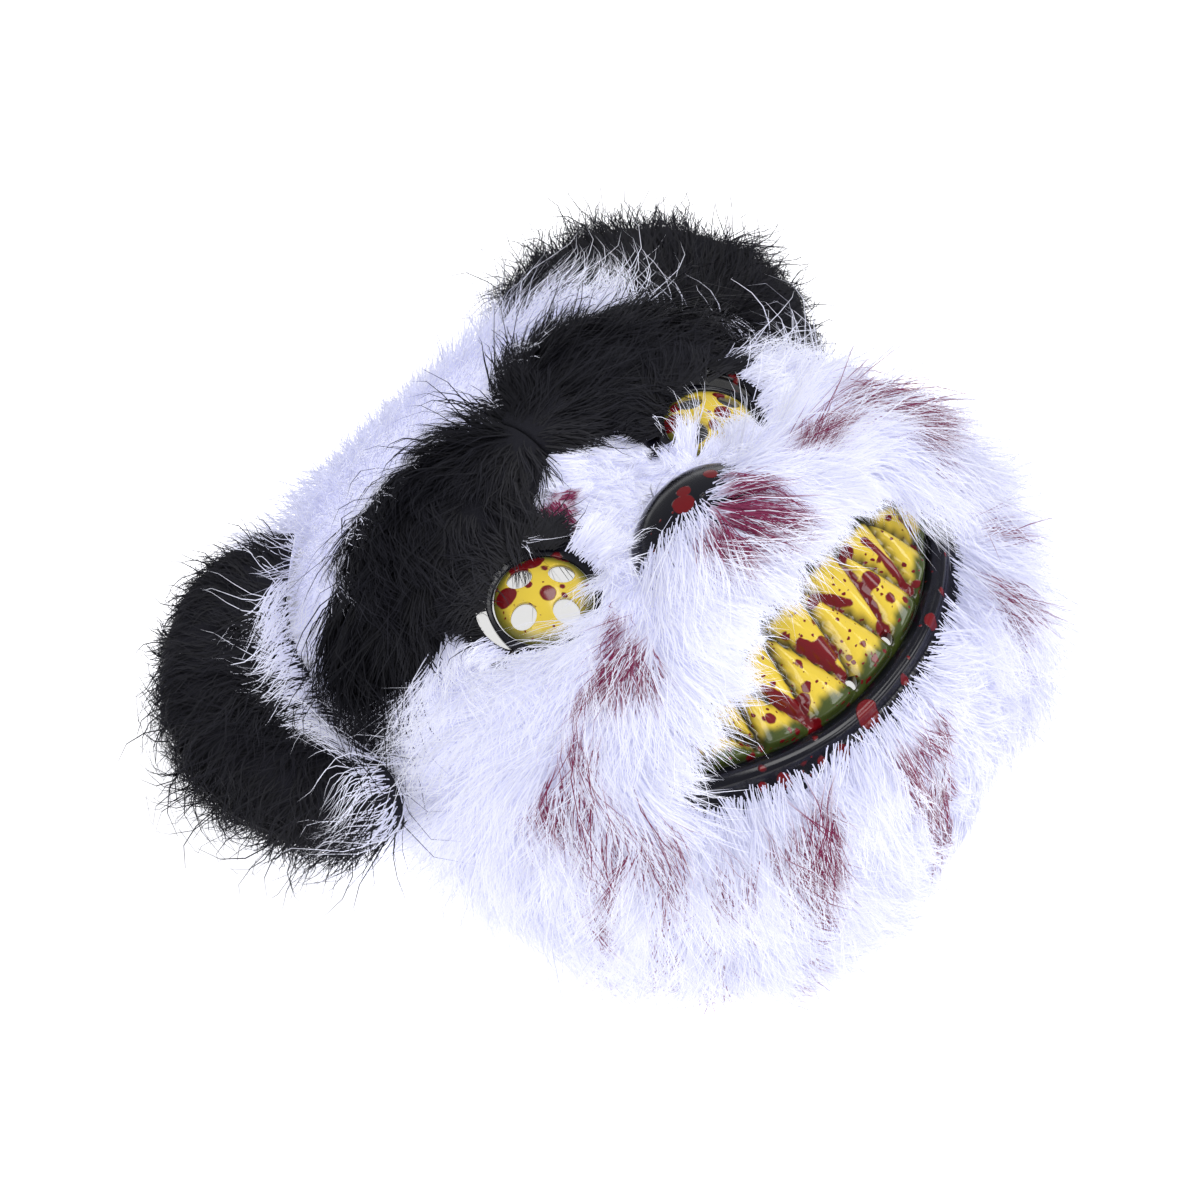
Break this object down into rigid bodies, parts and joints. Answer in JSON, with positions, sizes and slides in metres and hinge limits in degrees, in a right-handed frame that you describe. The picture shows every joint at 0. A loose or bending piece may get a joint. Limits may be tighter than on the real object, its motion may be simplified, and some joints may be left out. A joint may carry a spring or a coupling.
{
  "type": "horror panda mask",
  "caption": "Long-fur half-head panda mask over a hard hollow face shell, with pierced yellow eye domes, glossy nose and bared interlocking teeth.",
  "frame": {"origin": "middle of the mask's outline, in the plane of the shell's rim, which rests on Z = 0", "axes": "+X from the ear on the left as seen from the front to the ear on the right, +Y from the chin to the forehead, +Z out of the face"},
  "size_m": [0.2852, 0.2547, 0.1232],
  "materials": {
    "shell_plastic": "thin moulded black plastic, matt inside",
    "white_fur": "long white plush with a cool shade and dark red stains",
    "black_fur": "long near-black plush",
    "eye_yellow": "glossy painted yellow with a green edge and dark red splatter",
    "tooth_yellow": "glossy painted yellow teeth, olive gums and dark red splatter",
    "black_gloss": "glossy blue-black plastic with dark red patches",
    "elastic_black": "flat woven elastic"
  },
  "bodies": {
    "root": {"face_shell": "shell_plastic", "eye_socket_left": "black_gloss", "eye_socket_right": "black_gloss", "eye_dome_left": "eye_yellow", "eye_dome_right": "eye_yellow", "nose": "black_gloss", "teeth_plate": "tooth_yellow", "lip_ring": "black_gloss", "fur_forehead": "white_fur", "fur_face": "white_fur", "fur_jaw": "white_fur", "brow_patch_left": "black_fur", "brow_patch_right": "black_fur", "ear_left": "black_fur", "ear_right": "black_fur", "elastic_strap": "elastic_black"}
  },
  "joints": []
}
